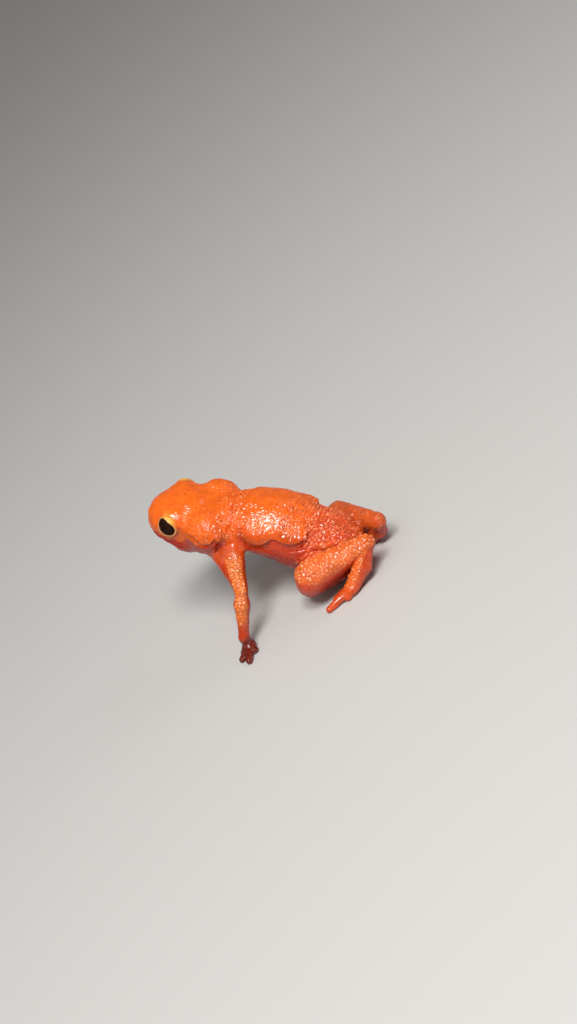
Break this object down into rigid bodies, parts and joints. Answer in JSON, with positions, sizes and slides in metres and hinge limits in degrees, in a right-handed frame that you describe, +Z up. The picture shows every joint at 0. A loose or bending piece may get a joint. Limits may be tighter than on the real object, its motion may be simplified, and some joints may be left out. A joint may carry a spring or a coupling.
{
  "type": "pumpkin toadlet",
  "caption": "Life-size still model of an orange pumpkin toadlet, chest raised on straight arms and hind legs folded.",
  "frame": {"origin": "middle of the bounding box's underside, on the floor between the hands and feet", "axes": "+Z up, the toadlet faces -Y and its left side is +X"},
  "size_m": [0.0174, 0.017, 0.012],
  "materials": {
    "skin": "wet, glossy orange skin with fine granules",
    "limb_skin": "wet, granular orange skin, darker red underneath",
    "eye": "glossy near-black eye with a thin golden ring"
  },
  "bodies": {
    "root": {"head": "skin", "torso": "skin", "upper_arm_left": "limb_skin", "forearm_left": "limb_skin", "hand_left": "limb_skin", "thigh_left": "limb_skin", "shank_left": "limb_skin", "foot_left": "limb_skin", "upper_arm_right": "limb_skin", "forearm_right": "limb_skin", "hand_right": "limb_skin", "thigh_right": "limb_skin", "shank_right": "limb_skin", "foot_right": "limb_skin", "eye_left": "eye", "eye_right": "eye"}
  },
  "joints": []
}
